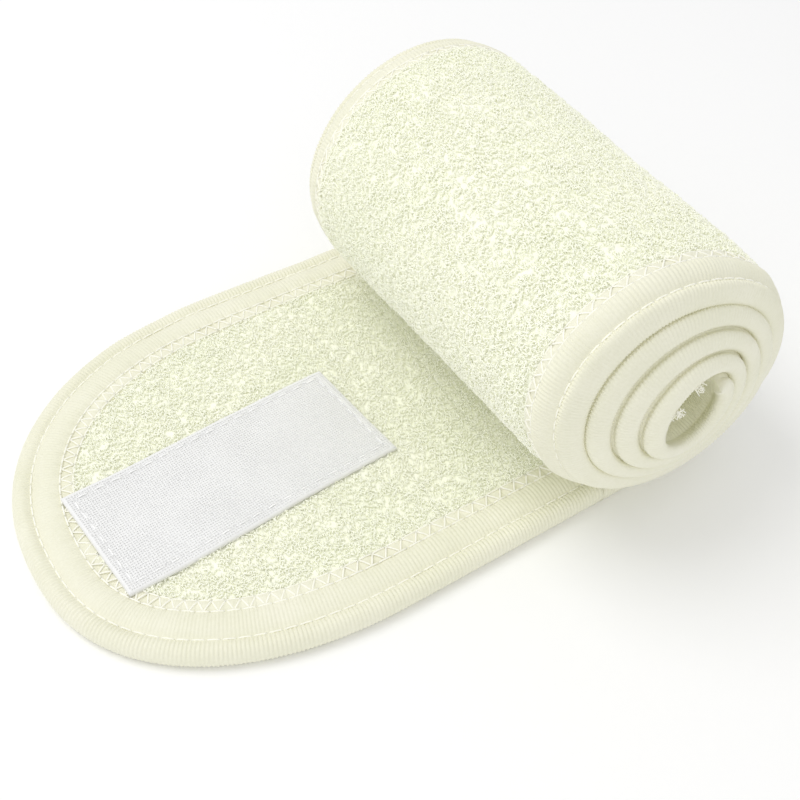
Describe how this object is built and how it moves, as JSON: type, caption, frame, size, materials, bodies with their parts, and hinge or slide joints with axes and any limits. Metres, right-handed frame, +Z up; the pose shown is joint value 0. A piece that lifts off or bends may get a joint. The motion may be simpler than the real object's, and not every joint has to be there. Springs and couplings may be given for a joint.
{
  "type": "spa headband",
  "caption": "Padded terry cloth wrap headband, rolled up with its rounded, hook-taped end laid out flat; the end folds up and wraps round the roll to close it.",
  "frame": {"origin": "on the flat underneath of the roll, below the roll's axis, midway along it", "axes": "+Z up; +Y along the roll's axis; the free end runs towards -X"},
  "size_m": [0.1314, 0.0941, 0.055],
  "materials": {
    "terry": "matte looped pile, cream",
    "binding": "ribbed satin-like fold-over binding, cream",
    "binding_thread": "polyester thread, cream",
    "hook_tape": "woven nylon with fine hooks, white",
    "loop_tape": "napped nylon loops, white",
    "tape_thread": "nylon thread, white"
  },
  "bodies": {
    "roll": {"outer_terry_roll": "terry", "inner_terry_roll": "terry", "edge_binding_roll": "binding", "binding_thread_roll": "binding_thread", "loop_tape": "loop_tape", "loop_tape_thread": "tape_thread"},
    "flap_1": {"outer_terry_flap_1": "terry", "inner_terry_flap_1": "terry", "edge_binding_flap_1": "binding", "binding_thread_flap_1": "binding_thread"},
    "flap_2": {"outer_terry_flap_2": "terry", "inner_terry_flap_2": "terry", "edge_binding_flap_2": "binding", "binding_thread_flap_2": "binding_thread", "hook_tape_2": "hook_tape", "hook_tape_thread_2": "tape_thread"},
    "flap_3": {"outer_terry_flap_3": "terry", "inner_terry_flap_3": "terry", "edge_binding_flap_3": "binding", "binding_thread_flap_3": "binding_thread", "hook_tape_3": "hook_tape", "hook_tape_thread_3": "tape_thread"},
    "flap_4": {"outer_terry_flap_4": "terry", "inner_terry_flap_4": "terry", "edge_binding_flap_4": "binding", "binding_thread_flap_4": "binding_thread", "hook_tape_4": "hook_tape", "hook_tape_thread_4": "tape_thread"},
    "flap_5": {"outer_terry_flap_5": "terry", "inner_terry_flap_5": "terry", "edge_binding_flap_5": "binding", "binding_thread_flap_5": "binding_thread", "hook_tape_5": "hook_tape", "hook_tape_thread_5": "tape_thread"},
    "flap_6": {"outer_terry_flap_6": "terry", "inner_terry_flap_6": "terry", "edge_binding_flap_6": "binding", "binding_thread_flap_6": "binding_thread"}
  },
  "joints": [
    {"name": "fold_1", "type": "hinge", "parent": "roll", "child": "flap_1", "pos_m": [-0.0105, 0, 0.0057], "axis": [0, 1, 0], "range_deg": [0, 31]},
    {"name": "fold_2", "type": "hinge", "parent": "flap_1", "child": "flap_2", "pos_m": [-0.0265, 0, 0.0057], "axis": [0, 1, 0], "range_deg": [0, 31]},
    {"name": "fold_3", "type": "hinge", "parent": "flap_2", "child": "flap_3", "pos_m": [-0.0425, 0, 0.0057], "axis": [0, 1, 0], "range_deg": [0, 31]},
    {"name": "fold_4", "type": "hinge", "parent": "flap_3", "child": "flap_4", "pos_m": [-0.059, 0, 0.0057], "axis": [0, 1, 0], "range_deg": [0, 31]},
    {"name": "fold_5", "type": "hinge", "parent": "flap_4", "child": "flap_5", "pos_m": [-0.0755, 0, 0.0057], "axis": [0, 1, 0], "range_deg": [0, 31]},
    {"name": "fold_6", "type": "hinge", "parent": "flap_5", "child": "flap_6", "pos_m": [-0.092, 0, 0.0057], "axis": [0, 1, 0], "range_deg": [0, 31]}
  ],
  "couplings": [
    {"joint": "fold_2", "follows": "fold_1", "ratio": 1},
    {"joint": "fold_3", "follows": "fold_1", "ratio": 1},
    {"joint": "fold_4", "follows": "fold_1", "ratio": 1},
    {"joint": "fold_5", "follows": "fold_1", "ratio": 1},
    {"joint": "fold_6", "follows": "fold_1", "ratio": 1}
  ]
}
